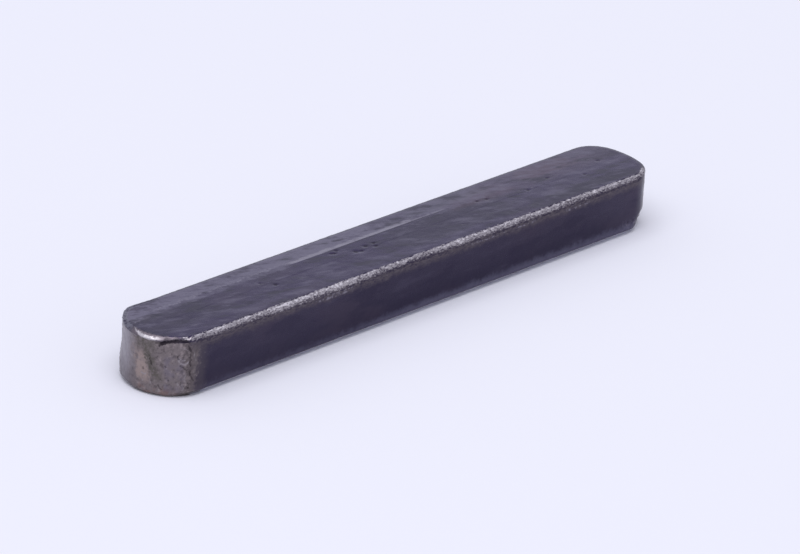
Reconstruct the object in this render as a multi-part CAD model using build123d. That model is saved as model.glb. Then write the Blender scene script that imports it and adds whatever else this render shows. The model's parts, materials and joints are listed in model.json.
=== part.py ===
from build123d import *
import os
from math import sqrt

# A parallel key: one bar of key steel with round ends and broken edges.
# It lies on its bottom face. X runs along the key, Y across it and Z up, and
# the origin is the middle of the bottom face. All sizes are in millimetres.

# The bar. Its section is made to its keyway, and its length is taken tip to tip.
KEY_WIDTH = 12.0
KEY_HEIGHT = 8.0
KEY_LENGTH = 90.0

# The left end, at -X, where the key has been driven. The ease is added to half
# the width, so the nose is a little flatter than a half circle, and a corner
# arc joins it to each side. The spread is how far the centre of a corner arc
# lies from the middle of the key: a larger one makes a tighter corner.
LEFT_NOSE_EASE = 0.55
LEFT_CORNER_SPREAD = 3.4

# The right end, at +X: a much flatter nose, ground a little askew. The lean is
# how far the nose's tip lies from the middle, and its corner at +Y is tighter
# than the one at -Y.
RIGHT_NOSE_EASE = 5.1
RIGHT_LOW_SPREAD = 1.5
RIGHT_HIGH_SPREAD = 2.1
RIGHT_NOSE_LEAN = 0.7

# The top and bottom faces have their edges broken all round at 45 degrees. Use
# has worn the arrises on both sides of each break to a small radius.
TOP_EDGE_BREAK = 0.5
BOTTOM_EDGE_BREAK = 0.45
ARRIS_RADIUS = 0.15

# Two heights closer than this are the same level.
LEVEL_TOLERANCE = 0.01


class RoundEnd:
    """The plan of one end: a nose arc with a tangent corner arc on each side.

    direction is 1 for an end that points along +X and -1 for one along -X.
    """

    def __init__(self, nose_ease, low_spread, high_spread, nose_lean, direction):
        self.direction = direction
        self.half_width = KEY_WIDTH / 2
        self.nose_radius = self.half_width + nose_ease
        self.nose_centre = Vector(KEY_LENGTH / 2 - self.nose_radius, nose_lean)
        self.tip = Vector(direction * KEY_LENGTH / 2, nose_lean)
        self.low_start, self.low_joint = self.corner(low_spread, -1)
        self.high_start, self.high_joint = self.corner(high_spread, 1)

    def corner(self, spread, side):
        """Return where the corner arc on one side meets the side and the nose.

        The corner circle touches the nose circle from inside, so their centres
        are the difference of their radii apart.
        """
        radius = self.half_width - spread
        centre_gap = self.nose_radius - radius
        rise = side * spread - self.nose_centre.Y
        centre_x = self.nose_centre.X + sqrt(centre_gap**2 - rise**2)
        centre = Vector(centre_x, side * spread)
        joint = centre + (centre - self.nose_centre).normalized() * radius
        start = Vector(self.direction * centre_x, side * self.half_width)
        return start, Vector(self.direction * joint.X, joint.Y)

    def arcs(self):
        """Return the corner at -Y, the nose and the corner at +Y."""
        lead_in = (self.direction, 0)
        low_corner = TangentArc(self.low_start, self.low_joint, tangent=lead_in)
        nose = ThreePointArc(self.low_joint, self.tip, self.high_joint)
        high_corner = TangentArc(self.high_start, self.high_joint, tangent=lead_in)
        return [low_corner, nose, high_corner]


def key_plan():
    """Return the plan of the key: two straight sides closed by the two ends."""
    left = RoundEnd(LEFT_NOSE_EASE, LEFT_CORNER_SPREAD, LEFT_CORNER_SPREAD, 0, -1)
    right = RoundEnd(RIGHT_NOSE_EASE, RIGHT_LOW_SPREAD, RIGHT_HIGH_SPREAD, RIGHT_NOSE_LEAN, 1)
    low_side = Line(left.low_start, right.low_start)
    high_side = Line(left.high_start, right.high_start)
    edges = left.arcs() + [low_side] + right.arcs() + [high_side]
    return make_face(edges)


def break_edges(key):
    """Return the key with the edges of its top and bottom faces broken."""
    top_edges = key.faces().sort_by(Axis.Z)[-1].edges()
    key = chamfer(top_edges, TOP_EDGE_BREAK)
    bottom_edges = key.faces().sort_by(Axis.Z)[0].edges()
    return chamfer(bottom_edges, BOTTOM_EDGE_BREAK)


def soften_arrises(key):
    """Return the key with both arrises of each edge break rounded."""
    levels = [0, BOTTOM_EDGE_BREAK, KEY_HEIGHT - TOP_EDGE_BREAK, KEY_HEIGHT]
    arrises = ShapeList()
    for level in levels:
        low = level - LEVEL_TOLERANCE
        high = level + LEVEL_TOLERANCE
        arrises += key.edges().filter_by_position(Axis.Z, low, high)
    return fillet(arrises, ARRIS_RADIUS)


def parallel_key():
    """Return the finished key as one solid."""
    bar = extrude(key_plan(), KEY_HEIGHT)
    return soften_arrises(break_edges(bar))


os.makedirs("parts", exist_ok=True)
export_step(parallel_key(), "parts/parallel_key.step")
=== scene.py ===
import json
import logging
import math
from dataclasses import dataclass, field
from enum import Enum

import bmesh
import bpy
import numpy as np
from mathutils import Matrix, Vector

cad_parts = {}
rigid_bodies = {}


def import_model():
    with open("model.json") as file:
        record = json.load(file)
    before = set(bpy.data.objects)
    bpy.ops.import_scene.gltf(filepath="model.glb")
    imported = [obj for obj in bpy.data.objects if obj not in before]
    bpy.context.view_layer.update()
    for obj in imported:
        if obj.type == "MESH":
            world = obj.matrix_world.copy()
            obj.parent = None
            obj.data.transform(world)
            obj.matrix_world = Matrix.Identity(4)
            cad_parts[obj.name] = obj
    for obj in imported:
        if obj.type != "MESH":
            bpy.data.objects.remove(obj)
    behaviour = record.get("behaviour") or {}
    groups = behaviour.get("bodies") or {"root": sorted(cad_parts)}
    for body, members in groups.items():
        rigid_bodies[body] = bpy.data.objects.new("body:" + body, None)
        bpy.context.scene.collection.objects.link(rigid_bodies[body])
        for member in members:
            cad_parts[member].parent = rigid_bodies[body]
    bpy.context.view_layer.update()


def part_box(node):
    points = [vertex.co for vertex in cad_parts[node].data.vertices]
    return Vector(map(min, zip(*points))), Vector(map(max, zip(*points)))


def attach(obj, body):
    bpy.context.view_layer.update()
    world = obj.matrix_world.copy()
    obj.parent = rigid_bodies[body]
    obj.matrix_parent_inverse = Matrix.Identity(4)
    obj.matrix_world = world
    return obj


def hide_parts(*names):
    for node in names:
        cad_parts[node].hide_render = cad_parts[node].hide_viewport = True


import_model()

logging.basicConfig(level=logging.INFO, format="%(message)s")
log = logging.getLogger("parallel_key")

MM = 0.001
NODE = "parallel_key"
BODY = "root"
SLOT = "key_steel"

# Coordinates closer than this are the same place when parts of the mesh are picked.
TOUCH = 0.01 * MM

# An edge broken at 45 degrees is this much longer down its slope than across it.
SLOPE = math.sqrt(2.0)

# Lengths shorter than this are taken as this, so that nothing is divided by zero.
TINY = 1e-6

# A face whose normal is steeper than this lies flat.
LYING_FLAT = 0.9


class Note(Enum):
    """What the modelling writes on each vertex for the finish to read."""

    PROFILE = "profile_mm"
    GRIME = "grime"
    RUBBED = "rubbed"
    DEPTH = "worn_depth_mm"
    AROUND = "around_left_end_mm"


class Pick(Enum):
    """What is selected in edit mode."""

    VERTICES = "VERT"
    EDGES = "EDGE"
    FACES = "FACE"


class Zone(Enum):
    """The parts of the surface that wear in their own way."""

    BROKEN_EDGE = "broken_edge"
    LEFT_END = "left_end"
    SKIN = "skin"
    FULL_EDGE = "full_edge"
    LOWER_EDGE = "lower_edge"
    CORNER = "corner"
    SCORED = "scored"
    RAISED = "raised"


@dataclass(frozen=True)
class Span:
    """A smooth change: where it starts, at 0, and where it is full, at 1."""

    start: float
    full: float

    def of(self, values: np.ndarray) -> np.ndarray:
        """Return 0 at the start, 1 where it is full and a smooth change between them."""
        share = np.clip((values - self.start) / (self.full - self.start), 0.0, 1.0)
        return share * share * (3 - 2 * share)


@dataclass(frozen=True)
class Stretch:
    """A stretch that is full from low to high and falls off softly outside them."""

    low: float
    high: float
    soft: float

    def of(self, values: np.ndarray) -> np.ndarray:
        """Return 1 within the stretch, with a soft fall outside it.

        Args:
            values: places along the line that the stretch lies on.

        Returns:
            One share from 0 to 1 for each place.
        """
        rise = Span(self.low - self.soft, self.low).of(values)
        fall = Span(self.high + self.soft, self.high).of(values)
        return rise * fall


@dataclass(frozen=True)
class RoundEnd:
    """The plan of one end: a nose arc with a tangent corner arc on each side.

    Sizes are in millimetres. Direction is 1 for the end at +X and -1 for the one at -X. Low
    is the side at -Y and high the side at +Y. The ease is how much larger the nose's radius
    is than half the width. A spread is how far a corner arc's centre lies from the middle,
    and the lean is how far the nose's tip does. The steps are the short edges of each arc.
    """

    direction: int
    nose_ease: float
    low_spread: float
    high_spread: float
    nose_lean: float
    nose_steps: int
    corner_steps: int

    def nose_radius(self, half_width: float) -> float:
        """Return the radius of the nose arc."""
        return half_width + self.nose_ease

    def nose_x(self, half_length: float, half_width: float) -> float:
        """Return how far the nose arc's centre lies from the middle of the key."""
        return half_length - self.nose_radius(half_width)

    def spread(self, side: int) -> float:
        """Return one side's spread: -1 is the low side and 1 the high one."""
        return self.high_spread if side > 0 else self.low_spread

    def corner_radius(self, side: int, half_width: float) -> float:
        """Return the radius of one side's corner arc."""
        return half_width - self.spread(side)

    def corner_x(self, side: int, half_length: float, half_width: float) -> float:
        """Return how far along the key one side's corner arc has its centre.

        Args:
            side: -1 for the low side and 1 for the high one.
            half_length: half the key's length.
            half_width: half its width.

        Returns:
            The distance from the middle of the key.
        """
        gap = self.nose_radius(half_width) - self.corner_radius(side, half_width)
        rise = side * self.spread(side) - self.nose_lean
        return self.nose_x(half_length, half_width) + math.sqrt(gap**2 - rise**2)

    def nose_turn(self, side: int, half_width: float) -> float:
        """Return the angle from the key's axis to where the nose meets one side's corner."""
        gap = self.nose_radius(half_width) - self.corner_radius(side, half_width)
        return math.asin((self.spread(side) - side * self.nose_lean) / gap)


@dataclass(frozen=True)
class Band:
    """A strip of rows across the surface: how wide it is in millimetres, in how many rows."""

    width: float
    rows: int


@dataclass(frozen=True)
class Mark:
    """One dent, nick or burr: a place, a push and how far round it the metal follows.

    All three are in millimetres. Grime is how much dirt the mark holds, from 0 to 1, and
    rub is how bright it is rubbed.
    """

    place: tuple[float, float, float]
    push: tuple[float, float, float]
    reach: float
    grime: float = 0.0
    rub: float = 0.0


def pick_mode(pick: Pick) -> None:
    """Set what edit mode selects.

    Args:
        pick: vertices, edges or faces.
    """
    bpy.ops.mesh.select_mode(type=pick.value)


def deselect() -> None:
    """Deselect everything in edit mode."""
    bpy.ops.mesh.select_all(action="DESELECT")


@dataclass
class KeyBody:
    """The key's steel body: a bar with round ends and broken edges, in rows fine enough to wear.

    Sizes are in millimetres. The bar is drawn from its plan at the top of the lower edge
    break, raised to its upper break, and stepped in across its top. The long sides are cut
    twice into short steps. Wall edges are the fine rows next to each break, rim bands the
    rows round the top face, and the grid span is how many faces lie across its middle.
    """

    half_length: float
    half_width: float
    height: float
    left: RoundEnd = RoundEnd(
        direction=-1,
        nose_ease=0.55,
        low_spread=3.4,
        high_spread=3.4,
        nose_lean=0.0,
        nose_steps=116,
        corner_steps=12,
    )
    right: RoundEnd = RoundEnd(
        direction=1,
        nose_ease=5.1,
        low_spread=1.5,
        high_spread=2.1,
        nose_lean=0.7,
        nose_steps=56,
        corner_steps=42,
    )
    side_cuts: tuple[int, int] = (39, 8)
    top_break: Band = Band(0.5, 7)
    bottom_break: Band = Band(0.45, 4)
    wall_edge: Band = Band(1.12, 8)
    wall_rows: int = 25
    rim_bands: tuple[Band, Band] = (Band(0.6, 6), Band(1.2, 6))
    bottom_rim: Band = Band(0.5, 2)
    grid_span: int = 70
    mesh_name: str = "worn_key"
    key: bpy.types.Object = field(init=False)

    def build(self) -> bpy.types.Object:
        """Model the sharp new body.

        Returns:
            The key's object.
        """
        self.draw_plan()
        self.raise_wall()
        self.step_in(self.top_break, self.top_break.width)
        for band in self.rim_bands:
            self.step_in(band, 0.0)
        self.lay_top_grid()
        self.break_bottom_edge()
        self.close_up()
        self.note_profile()
        return self.key

    def mesh(self) -> bmesh.types.BMesh:
        """Return the mesh that is being edited."""
        return bmesh.from_edit_mesh(self.key.data)

    def wall_end(self) -> float:
        """Return how far down the profile the wall ends, from the upper arris."""
        wall = self.height - self.top_break.width - self.bottom_break.width
        return SLOPE * self.top_break.width + wall

    def draw_plan(self) -> None:
        """Draw the outline of the key as one closed face, level with the lower edge break."""
        level = self.bottom_break.width * MM
        left_x = -self.left.corner_x(-1, self.half_length, self.half_width)
        right_x = self.right.corner_x(-1, self.half_length, self.half_width)
        middle = (left_x + right_x) / 2 * MM
        bpy.ops.object.select_all(action="DESELECT")
        bpy.ops.mesh.primitive_plane_add(size=1.0, location=(middle, 0, level))
        self.key = bpy.context.object
        self.key.name = self.mesh_name
        self.key.data.name = self.mesh_name
        self.key.scale = ((right_x - left_x) * MM, 2 * self.half_width * MM, 1)
        bpy.ops.object.transform_apply(location=True, rotation=True, scale=True)
        bpy.ops.object.mode_set(mode="EDIT")
        self.keep_long_sides()
        self.turn_end(self.right, level)
        self.turn_end(self.left, level)
        bpy.ops.mesh.select_all(action="SELECT")
        bpy.ops.mesh.remove_doubles(threshold=TOUCH)
        bpy.ops.mesh.select_all(action="SELECT")
        bpy.ops.mesh.edge_face_add()
        pick_mode(Pick.FACES)
        if self.mesh().faces[:][0].normal.z < 0:
            bpy.ops.mesh.flip_normals()

    def keep_long_sides(self) -> None:
        """Leave only the two long edges of the starting plane, cut into short steps."""
        bpy.ops.mesh.select_all(action="SELECT")
        bpy.ops.mesh.delete(type="ONLY_FACE")
        pick_mode(Pick.EDGES)
        deselect()
        for edge in self.mesh().edges:
            first, second = edge.verts
            edge.select = abs(first.co.y - second.co.y) > TOUCH
        bpy.ops.mesh.delete(type="EDGE")
        self.shift_high_side()
        for cuts in self.side_cuts:
            bpy.ops.mesh.select_all(action="SELECT")
            bpy.ops.mesh.subdivide(number_cuts=cuts)
        pick_mode(Pick.VERTICES)

    def shift_high_side(self) -> None:
        """Move the ends of the long edge at +Y to where its own corner arcs start."""
        for end in (self.left, self.right):
            low_x = end.corner_x(-1, self.half_length, self.half_width)
            high_x = end.corner_x(1, self.half_length, self.half_width)
            pick_mode(Pick.VERTICES)
            deselect()
            for vertex in self.mesh().verts:
                vertex.select = vertex.co.y > 0 and vertex.co.x * end.direction > 0
            self.mesh().select_flush(True)
            along = end.direction * (high_x - low_x) * MM
            bpy.ops.transform.translate(value=(along, 0, 0))
        pick_mode(Pick.EDGES)

    def turn_end(self, end: RoundEnd, level: float) -> None:
        """Spin one end's outline: corner, nose, corner.

        Args:
            end: the end to draw.
            level: the height of the outline, in metres.
        """
        out = end.direction
        first, last = -out, out
        nose_x = out * end.nose_x(self.half_length, self.half_width)
        first_x, last_x = (
            out * end.corner_x(side, self.half_length, self.half_width) for side in (first, last)
        )
        first_turn, last_turn = (end.nose_turn(side, self.half_width) for side in (first, last))
        start = Vector((first_x * MM, first * self.half_width * MM, level))
        deselect()
        nearest = min(self.mesh().verts, key=lambda vertex: (vertex.co - start).length)
        nearest.select = True
        self.mesh().select_flush(True)
        quarter = math.pi / 2
        turns = (
            (end.corner_steps, quarter - first_turn, first_x, first * end.spread(first)),
            (end.nose_steps, first_turn + last_turn, nose_x, end.nose_lean),
            (end.corner_steps, quarter - last_turn, last_x, last * end.spread(last)),
        )
        for steps, angle, centre_x, centre_y in turns:
            centre = (centre_x * MM, centre_y * MM, level)
            bpy.ops.mesh.spin(steps=steps, angle=-angle, center=centre, axis=(0, 0, 1))

    def raise_wall(self) -> None:
        """Extrude the plan up to the upper edge break, with fine rows next to both breaks."""
        wall = self.height - self.top_break.width - self.bottom_break.width
        middle = Band(wall - 2 * self.wall_edge.width, self.wall_rows)
        for band in (self.wall_edge, middle, self.wall_edge):
            rise = band.width / band.rows * MM
            for _ in range(band.rows):
                bpy.ops.mesh.extrude_region_move(
                    TRANSFORM_OT_translate={"value": (0, 0, rise)}
                )

    def step_in(self, band: Band, rise: float) -> None:
        """Inset the selected face row by row.

        Args:
            band: how far in, in how many rows.
            rise: how far the face moves out along its normal over the band.
        """
        for _ in range(band.rows):
            bpy.ops.mesh.inset(
                thickness=band.width / band.rows * MM,
                depth=rise / band.rows * MM,
                use_even_offset=True,
            )

    def lay_top_grid(self) -> None:
        """Replace the face inside the top's rim by a grid that runs along the key."""
        bpy.ops.mesh.delete(type="ONLY_FACE")
        pick_mode(Pick.EDGES)
        deselect()
        top = self.height * MM - TOUCH
        rim = [edge for edge in self.mesh().edges if edge.is_boundary]
        rim = [edge for edge in rim if min(v.co.z for v in edge.verts) > top]
        for edge in rim:
            edge.select = True
        corner = self.grid_corner({vertex for edge in rim for vertex in edge.verts})
        place = corner.co.copy()
        bpy.ops.mesh.select_mode(use_extend=True, type=Pick.VERTICES.value)
        mesh = self.mesh()
        loop = [vertex for vertex in mesh.verts if vertex.select]
        mesh.select_history.clear()
        mesh.select_history.add(min(loop, key=lambda v: (v.co - place).length))
        bpy.ops.mesh.fill_grid(span=self.grid_span, offset=0)

    def grid_corner(self, rim: set[bmesh.types.BMVert]) -> bmesh.types.BMVert:
        """Return the rim vertex where the grid's short side starts, on the left end.

        Args:
            rim: the vertices round the open part of the top.

        Returns:
            The vertex half the grid's span away from the tip, towards -Y.
        """
        left_half = [v for v in rim if v.co.x < 0 and v.co.y <= TOUCH]
        from_tip = sorted(left_half, key=lambda v: -v.co.y)
        return from_tip[self.grid_span // 2]

    def break_bottom_edge(self) -> None:
        """Step the bottom face in and down to break the lower edge."""
        pick_mode(Pick.FACES)
        deselect()
        level = self.bottom_break.width * MM
        for face in self.mesh().faces:
            flat = abs(face.normal.z) > LYING_FLAT
            face.select = flat and abs(face.calc_center_median().z - level) < TOUCH
        bottom = next(face for face in self.mesh().faces if face.select)
        outward = 1.0 if bottom.normal.z < 0 else -1.0
        self.step_in(self.bottom_break, outward * self.bottom_break.width)
        self.step_in(self.bottom_rim, 0.0)

    def close_up(self) -> None:
        """Face everything outwards and leave edit mode."""
        bpy.ops.mesh.select_all(action="SELECT")
        bpy.ops.mesh.normals_make_consistent(inside=False)
        bpy.ops.object.mode_set(mode="OBJECT")

    def inset_of(self, x: np.ndarray, y: np.ndarray) -> np.ndarray:
        """Return how far inside the outline points lie, in millimetres.

        Args:
            x: places along the key.
            y: places across it.

        Returns:
            The distance to the nearest side, nose or corner.
        """
        inset = self.half_width - np.abs(y)
        for end in (self.left, self.right):
            along = end.direction * x
            nose_x = end.nose_x(self.half_length, self.half_width)
            across = y - end.nose_lean
            turn = np.arctan2(across, along - nose_x)
            low_turn = end.nose_turn(-1, self.half_width)
            high_turn = end.nose_turn(1, self.half_width)
            in_nose = (turn > -low_turn) & (turn < high_turn) & (along > nose_x)
            nose_inset = end.nose_radius(self.half_width) - np.hypot(along - nose_x, across)
            inset = np.where(in_nose, np.minimum(inset, nose_inset), inset)
            for side in (-1, 1):
                corner_x = end.corner_x(side, self.half_length, self.half_width)
                from_corner = np.hypot(along - corner_x, y - side * end.spread(side))
                in_corner = (along > corner_x) & ~in_nose & (across * side > 0)
                corner_inset = end.corner_radius(side, self.half_width) - from_corner
                inset = np.where(in_corner, np.minimum(inset, corner_inset), inset)
        return inset

    def around_left(self, x: np.ndarray, y: np.ndarray) -> np.ndarray:
        """Return how far round the left end's outline points lie, in millimetres.

        Args:
            x: places along the key.
            y: places across it.

        Returns:
            The distance from the end's tip, positive towards -Y.
        """
        end = self.left
        along = end.direction * x
        nose_x = end.nose_x(self.half_length, self.half_width)
        corner_x = end.corner_x(-1, self.half_length, self.half_width)
        radius = end.nose_radius(self.half_width)
        corner = end.corner_radius(-1, self.half_width)
        limit = end.nose_turn(-1, self.half_width)
        nose_turn = np.abs(np.arctan2(y, along - nose_x))
        corner_turn = np.arctan2(np.abs(y) - end.low_spread, along - corner_x)
        on_corner = radius * limit + corner * (corner_turn - limit)
        on_side = radius * limit + corner * (math.pi / 2 - limit) + corner_x - along
        around = np.where(along > corner_x, on_corner, on_side)
        in_nose = (nose_turn < limit) & (along > nose_x)
        return -np.sign(y) * np.where(in_nose, radius * nose_turn, around)

    def note_profile(self) -> None:
        """Write on each vertex how far down the profile it lies, from the upper arris.

        It is negative on the top face, grows down the upper break and the wall, and goes
        on round the lower break to the bottom face.
        """
        x, y, z = (vertex_places(self.key) / MM).T
        inset = self.inset_of(x, y)
        top_break = self.top_break.width
        bottom_break = self.bottom_break.width
        wall_top = self.height - top_break
        drop = self.height - z
        on_top = drop < TOUCH / MM
        on_break = ~on_top & (drop <= top_break)
        on_bottom = z < bottom_break - TOUCH / MM
        profile = SLOPE * top_break + (wall_top - z)
        profile = np.where(on_break, SLOPE * drop, profile)
        profile = np.where(on_top, top_break - inset, profile)
        round_bottom = self.wall_end() + (SLOPE * np.minimum(inset, bottom_break))
        round_bottom = round_bottom + np.maximum(inset - bottom_break, 0.0)
        profile = np.where(on_bottom, round_bottom, profile)
        write_note(self.key, Note.PROFILE, profile)
        write_note(self.key, Note.AROUND, self.around_left(x, y))


def vertex_places(piece: bpy.types.Object) -> np.ndarray:
    """Read where a piece's vertices are.

    Args:
        piece: the piece to read.

    Returns:
        One row of x, y and z for each vertex, in metres.
    """
    co = np.empty(len(piece.data.vertices) * 3)
    piece.data.vertices.foreach_get("co", co)
    return co.reshape(-1, 3)


def write_note(piece: bpy.types.Object, note: Note, values: np.ndarray) -> None:
    """Write one number on each vertex of a piece.

    Args:
        piece: the piece to write on.
        note: what the numbers say.
        values: one value for each vertex.
    """
    attribute = piece.data.attributes.new(note.value, "FLOAT", "POINT")
    attribute.data.foreach_set("value", values.astype(np.float32))


def read_note(piece: bpy.types.Object, note: Note) -> np.ndarray:
    """Read the number that the modelling wrote on each vertex.

    Args:
        piece: the piece to read.
        note: what the numbers say.

    Returns:
        One value for each vertex.
    """
    values = np.empty(len(piece.data.vertices))
    piece.data.attributes[note.value].data.foreach_get("value", values)
    return values


@dataclass(frozen=True)
class Grain:
    """A cloudy pattern that a Displace modifier presses into the metal.

    Size and depth are in millimetres. A hard grain has creases, and its level is the part
    of the pattern that stays where it was.
    """

    name: str
    zone: Zone
    size: float
    depth: float
    hard: bool = False
    level: float = 0.75


@dataclass(frozen=True)
class EndMark:
    """A dent on the left end, placed round the end's outline from its tip towards -Y."""

    around: float
    height: float
    depth: float
    reach: float


@dataclass(frozen=True)
class Stroke:
    """A scored or raised line on the left end, through points round the end and up it."""

    points: tuple[tuple[float, float], ...]
    width: float
    strength: float = 1.0

    def weight(self, around: np.ndarray, height: np.ndarray) -> np.ndarray:
        """Return how strongly the line marks each place.

        Args:
            around: places round the end, in millimetres from its tip.
            height: their heights, in millimetres.

        Returns:
            The stroke's strength on its line, falling to 0 at its width.
        """
        nearest = np.full(len(around), np.inf)
        for (from_x, from_y), (to_x, to_y) in zip(self.points, self.points[1:]):
            run_x, run_y = to_x - from_x, to_y - from_y
            squared = run_x**2 + run_y**2
            share = ((around - from_x) * run_x + (height - from_y) * run_y) / squared
            share = np.clip(share, 0.0, 1.0)
            off_x = around - from_x - share * run_x
            off_y = height - from_y - share * run_y
            nearest = np.minimum(nearest, np.hypot(off_x, off_y))
        return self.strength * Span(self.width, 0.0).of(nearest)


# How far a pit's short stroke runs round the end and up it.
PIT_RUN = (0.05, -0.08)


def pit(around: float, height: float, width: float, strength: float = 1.0) -> Stroke:
    """Return a stroke so short that it is a pit."""
    foot = (around + PIT_RUN[0], height + PIT_RUN[1])
    return Stroke(((around, height), foot), width, strength)


CRACKS = (
    Stroke(((2.9, 7.15), (3.6, 7.36), (4.4, 7.50), (5.3, 7.64), (6.1, 7.80), (6.9, 7.86)), 0.30),
    Stroke(((5.9, 5.75), (5.62, 5.62), (5.66, 5.38), (5.88, 5.20)), 0.20),
    Stroke(((6.10, 5.52), (6.38, 5.40), (6.62, 5.55)), 0.17, 0.8),
    Stroke(((7.00, 6.95), (7.22, 6.70), (7.30, 6.35), (7.52, 6.10)), 0.28),
    Stroke(((7.45, 5.70), (7.30, 5.30), (7.48, 4.95), (7.25, 4.60), (7.50, 4.20)), 0.24),
    Stroke(((6.05, 4.30), (6.35, 4.12), (6.62, 3.82), (6.95, 3.75)), 0.22),
    Stroke(((6.95, 3.70), (7.40, 3.50), (7.42, 2.95), (7.70, 2.60), (7.95, 2.15)), 0.24),
    Stroke(((6.20, 2.20), (6.10, 1.80), (6.35, 1.45)), 0.20, 0.7),
    Stroke(((7.15, 2.05), (7.30, 1.55), (7.20, 1.10)), 0.24, 0.8),
    Stroke(((3.35, 1.55), (3.50, 1.20), (3.80, 1.02)), 0.26, 0.9),
    Stroke(((2.20, 4.62), (2.32, 4.30), (2.42, 4.10)), 0.24, 0.8),
    Stroke(((1.95, 5.30), (2.10, 5.05), (2.02, 4.80)), 0.22, 0.6),
    Stroke(((-0.9, 7.30), (-0.5, 7.15), (0.1, 7.22)), 0.30, 0.6),
    pit(1.17, 3.42, 0.30),
    pit(0.55, 3.05, 0.20, 0.6),
    pit(1.55, 3.05, 0.18, 0.6),
    pit(4.17, 4.15, 0.24),
    pit(4.60, 2.35, 0.22),
    pit(3.15, 5.45, 0.20, 0.7),
    pit(2.85, 6.20, 0.20, 0.6),
    pit(4.85, 5.95, 0.22, 0.6),
    pit(4.20, 3.10, 0.18, 0.5),
    pit(5.05, 4.75, 0.18, 0.5),
    pit(5.50, 3.35, 0.18, 0.6),
    pit(3.60, 2.45, 0.20, 0.6),
    pit(8.25, 4.60, 0.20, 0.6),
    pit(8.10, 5.95, 0.20, 0.5),
)
RIDGES = (
    Stroke(((5.80, 5.10), (5.95, 4.75), (6.30, 4.52), (6.75, 4.56), (7.05, 4.78)), 0.24),
    Stroke(((5.95, 5.45), (6.15, 5.15), (6.45, 4.95), (6.70, 5.05)), 0.20, 0.9),
    Stroke(((6.55, 3.45), (6.75, 3.10), (6.62, 2.60), (6.80, 2.10)), 0.34, 0.6),
    Stroke(((7.75, 6.30), (7.95, 5.75), (7.85, 5.35)), 0.22, 0.7),
    Stroke(((8.10, 5.05), (8.20, 4.85)), 0.20, 0.9),
    Stroke(((7.90, 4.15), (8.10, 3.75), (7.95, 3.35)), 0.22, 0.6),
    Stroke(((8.20, 2.95), (8.35, 2.70)), 0.18, 0.7),
    Stroke(((5.75, 1.95), (5.90, 1.75)), 0.22, 0.9),
    Stroke(((6.35, 1.70), (6.60, 1.30), (6.50, 1.05)), 0.20, 0.8),
    Stroke(((6.00, 6.75), (6.50, 6.60), (6.95, 6.30)), 0.30, 0.5),
    Stroke(((1.00, 2.75), (1.45, 2.62), (1.70, 2.85)), 0.24, 0.8),
    Stroke(((1.30, 1.75), (1.10, 1.65)), 0.20, 0.8),
    Stroke(((2.20, 2.05), (2.40, 1.55)), 0.22, 0.6),
    Stroke(((-1.45, 6.65), (-1.05, 6.75), (-0.75, 6.95)), 0.30, 0.6),
    Stroke(((3.75, 4.75), (4.05, 4.55)), 0.22, 0.6),
    Stroke(((4.85, 6.45), (5.15, 6.20)), 0.24, 0.5),
)


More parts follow.
